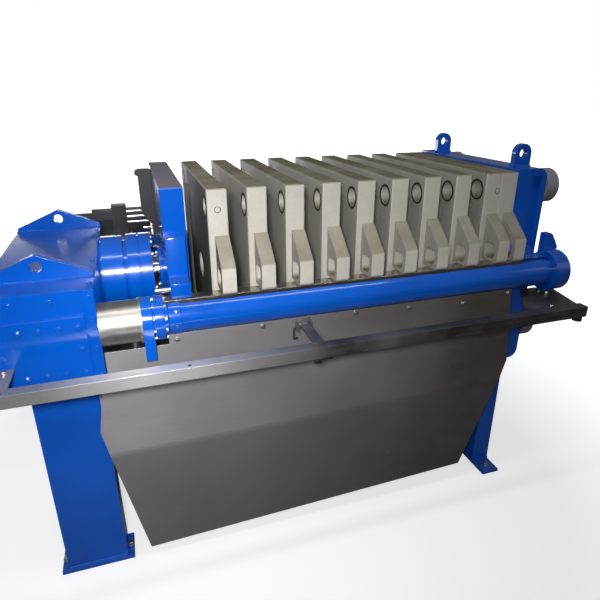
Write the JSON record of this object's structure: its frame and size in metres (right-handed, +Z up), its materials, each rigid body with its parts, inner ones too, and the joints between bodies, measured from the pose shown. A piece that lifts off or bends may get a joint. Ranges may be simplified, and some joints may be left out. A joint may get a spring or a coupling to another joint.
{
  "type": "plate filter press",
  "caption": "Side-bar plate filter press: a hydraulic follower closes chamber plates against a fixed head, above a stainless cake chute.",
  "frame": {"origin": "on the floor, under the middle of the overall box", "axes": "+X from the hydraulic end to the fixed head, -Y is the operator's side, +Z up"},
  "size_m": [2.0734, 1.124, 1.291],
  "materials": {
    "blue_paint": "glossy blue enamel",
    "plate_polymer": "matt moulded polypropylene",
    "stainless_sheet": "satin stainless sheet",
    "bright_steel": "bright turned steel",
    "grey_flange": "satin grey",
    "black_paint": "satin black"
  },
  "bodies": {
    "press_frame": {"drive_head": "blue_paint", "drive_covers": "blue_paint", "drive_lugs": "blue_paint", "cylinder_barrel": "blue_paint", "drive_leg_front": "blue_paint", "drive_leg_back": "blue_paint", "load_sleeves": "bright_steel", "bar_flange_front": "blue_paint", "bar_flange_back": "blue_paint", "side_bar_front": "blue_paint", "side_bar_back": "blue_paint", "wear_rails": "bright_steel", "bar_caps": "blue_paint", "fixed_head": "blue_paint", "head_gussets": "blue_paint", "head_lugs": "blue_paint", "port_flanges": "grey_flange", "feed_flange": "grey_flange", "head_leg_front": "blue_paint", "head_leg_back": "blue_paint", "tail_plate": "plate_polymer", "filter_plate_9": "plate_polymer", "chute_wall_front": "stainless_sheet", "chute_wall_back": "stainless_sheet", "chute_end_drive": "stainless_sheet", "chute_end_head": "stainless_sheet", "chute_hangers": "stainless_sheet", "square_rail_front": "stainless_sheet", "square_rail_back": "stainless_sheet", "rail_brackets": "stainless_sheet", "tie_plates": "stainless_sheet", "stroke_block": "black_paint", "stroke_rods": "bright_steel"},
    "follower": {"follower": "blue_paint", "follower_shoe_front": "blue_paint", "follower_shoe_back": "blue_paint", "roller_post": "black_paint", "piston_rod": "bright_steel"},
    "plate_1": {"filter_plate_1": "plate_polymer"},
    "plate_2": {"filter_plate_2": "plate_polymer"},
    "plate_3": {"filter_plate_3": "plate_polymer"},
    "plate_4": {"filter_plate_4": "plate_polymer"},
    "plate_5": {"filter_plate_5": "plate_polymer"},
    "plate_6": {"filter_plate_6": "plate_polymer"},
    "plate_7": {"filter_plate_7": "plate_polymer"},
    "plate_8": {"filter_plate_8": "plate_polymer"}
  },
  "joints": [
    {"name": "follower_slide", "type": "slide", "parent": "press_frame", "child": "follower", "axis": [1, 0, 0], "range_m": [0, 0.461]},
    {"name": "plate_1_slide", "type": "slide", "parent": "press_frame", "child": "plate_1", "axis": [1, 0, 0], "range_m": [0, 0.40805]},
    {"name": "plate_2_slide", "type": "slide", "parent": "press_frame", "child": "plate_2", "axis": [1, 0, 0], "range_m": [0, 0.35705]},
    {"name": "plate_3_slide", "type": "slide", "parent": "press_frame", "child": "plate_3", "axis": [1, 0, 0], "range_m": [0, 0.30605]},
    {"name": "plate_4_slide", "type": "slide", "parent": "press_frame", "child": "plate_4", "axis": [1, 0, 0], "range_m": [0, 0.25505]},
    {"name": "plate_5_slide", "type": "slide", "parent": "press_frame", "child": "plate_5", "axis": [1, 0, 0], "range_m": [0, 0.20405]},
    {"name": "plate_6_slide", "type": "slide", "parent": "press_frame", "child": "plate_6", "axis": [1, 0, 0], "range_m": [0, 0.15305]},
    {"name": "plate_7_slide", "type": "slide", "parent": "press_frame", "child": "plate_7", "axis": [1, 0, 0], "range_m": [0, 0.10205]},
    {"name": "plate_8_slide", "type": "slide", "parent": "press_frame", "child": "plate_8", "axis": [1, 0, 0], "range_m": [0, 0.05105]}
  ],
  "couplings": [
    {"joint": "plate_1_slide", "follows": "follower_slide", "ratio": 0.88503},
    {"joint": "plate_2_slide", "follows": "follower_slide", "ratio": 0.7744},
    {"joint": "plate_3_slide", "follows": "follower_slide", "ratio": 0.66377},
    {"joint": "plate_4_slide", "follows": "follower_slide", "ratio": 0.55314},
    {"joint": "plate_5_slide", "follows": "follower_slide", "ratio": 0.44252},
    {"joint": "plate_6_slide", "follows": "follower_slide", "ratio": 0.33189},
    {"joint": "plate_7_slide", "follows": "follower_slide", "ratio": 0.22126},
    {"joint": "plate_8_slide", "follows": "follower_slide", "ratio": 0.11063}
  ]
}
